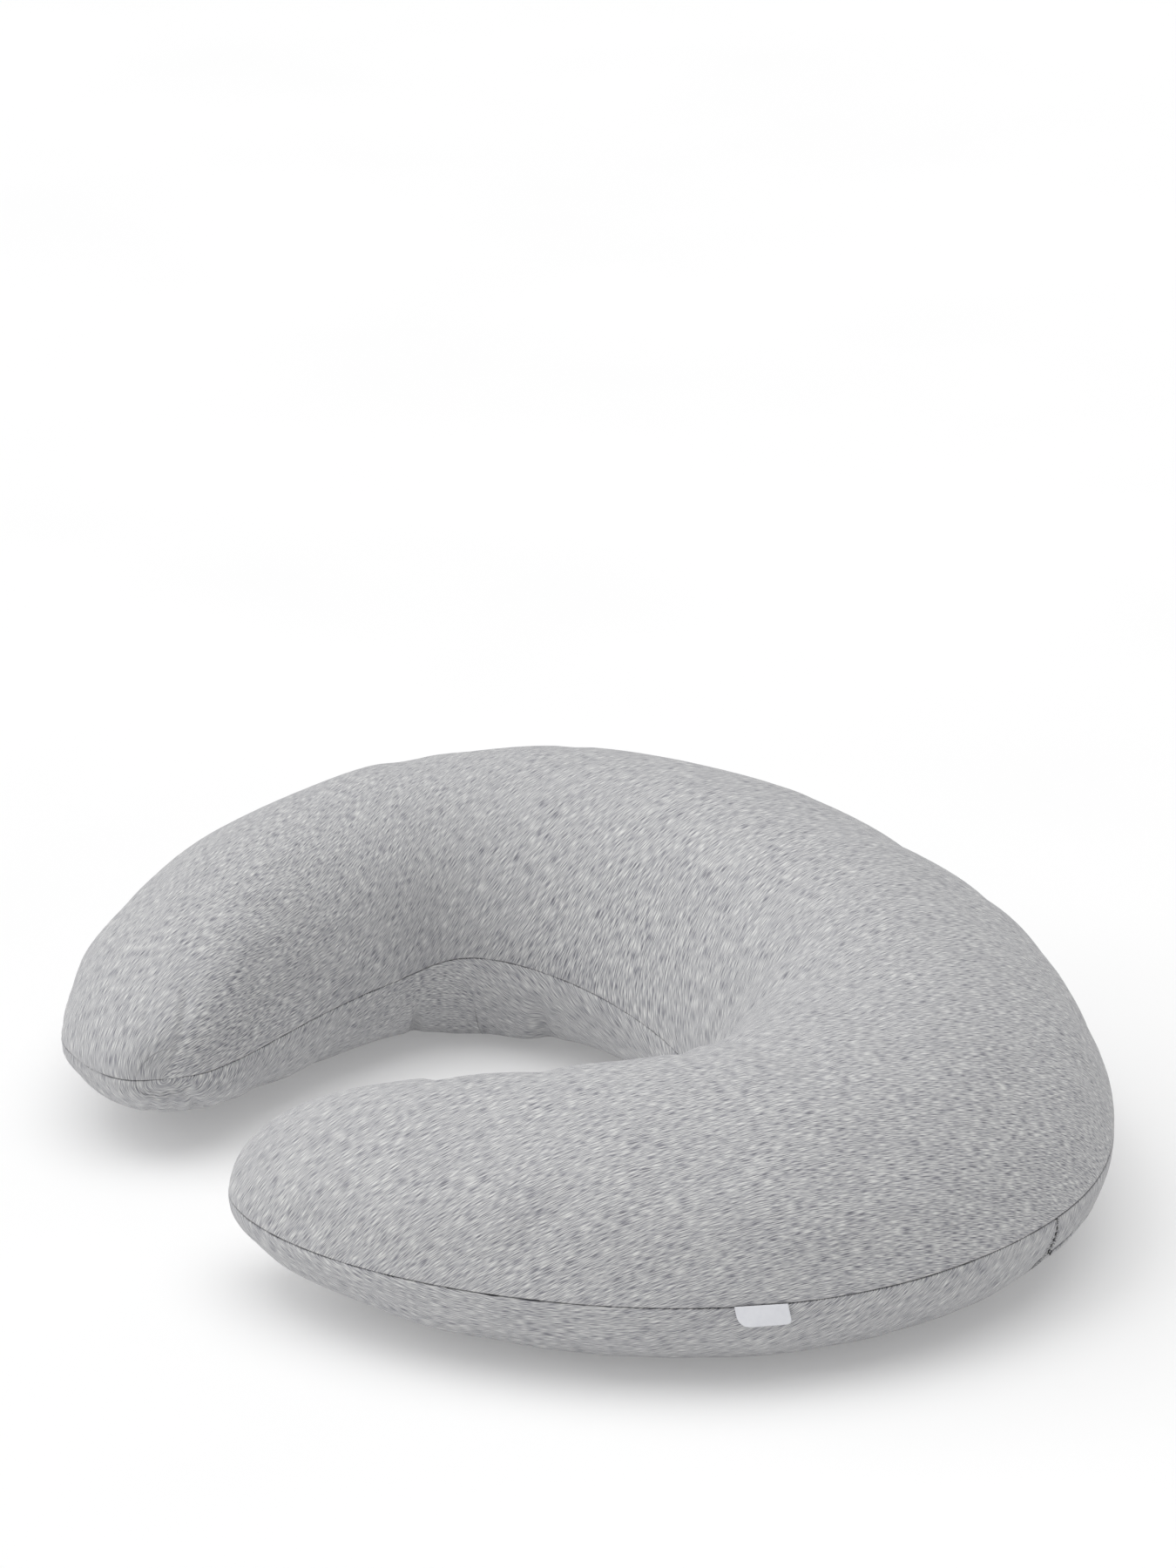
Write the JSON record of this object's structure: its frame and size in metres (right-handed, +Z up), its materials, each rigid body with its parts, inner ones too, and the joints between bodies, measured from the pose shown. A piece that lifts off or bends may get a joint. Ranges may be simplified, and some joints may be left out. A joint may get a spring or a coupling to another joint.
{
  "type": "nursing pillow",
  "caption": "C-shaped nursing pillow: a fibre-filled inner cushion inside a zipped marl jersey cover with a blank woven side label.",
  "frame": {"origin": "on the resting surface, under the middle of the pillow's bounding box", "axes": "+Z up, +X across the pillow's long side, the mouth of the C toward -Y and its back toward +Y"},
  "size_m": [0.6356, 0.4852, 0.148],
  "materials": {
    "marl_jersey": "grey marl cotton jersey, fine streaked heather",
    "casing_cloth": "plain white woven cotton",
    "hollow_fibre": "loose white polyester hollow fibre",
    "thread": "spun polyester sewing thread",
    "woven_label": "blank white satin-woven label",
    "zip_tape": "grey woven polyester tape",
    "zip_teeth": "grey moulded nylon",
    "zip_metal": "grey lacquered die-cast metal"
  },
  "bodies": {
    "pillow": {"cover_top_panel": "marl_jersey", "cover_bottom_panel": "marl_jersey", "zip_facing": "marl_jersey", "cover_seam_thread": "thread", "facing_seam_thread": "thread", "cover_care_label": "woven_label", "zip_tape_upper": "zip_tape", "zip_tape_lower": "zip_tape", "zip_tape_stitching": "thread", "zip_teeth_upper": "zip_teeth", "zip_teeth_lower": "zip_teeth", "zip_top_stops": "zip_metal", "zip_bottom_stop": "zip_metal", "inner_casing_top": "casing_cloth", "inner_casing_bottom": "casing_cloth", "inner_seam_thread": "thread", "inner_closing_stitch": "thread", "inner_care_label": "woven_label", "fibre_filling": "hollow_fibre"},
    "slider": {"zip_slider": "zip_metal"},
    "pull_tab": {"zip_pull_tab": "zip_metal"},
    "label": {"side_label": "woven_label"}
  },
  "joints": [
    {"name": "zip_travel", "type": "hinge", "parent": "pillow", "child": "slider", "pos_m": [0, -0.16038, 0.0515], "axis": [0, 0, -1], "range_deg": [0, 64.8]},
    {"name": "pull_swing", "type": "hinge", "parent": "slider", "child": "pull_tab", "pos_m": [-0.21647, 0.18073, 0.0515], "axis": [0, 0, 1], "range_deg": [0, 175]},
    {"name": "label_flip", "type": "hinge", "parent": "pillow", "child": "label", "pos_m": [0.31096, -0.06303, 0.04759], "axis": [-0.285, -0.9585, 0], "range_deg": [0, 110]}
  ]
}
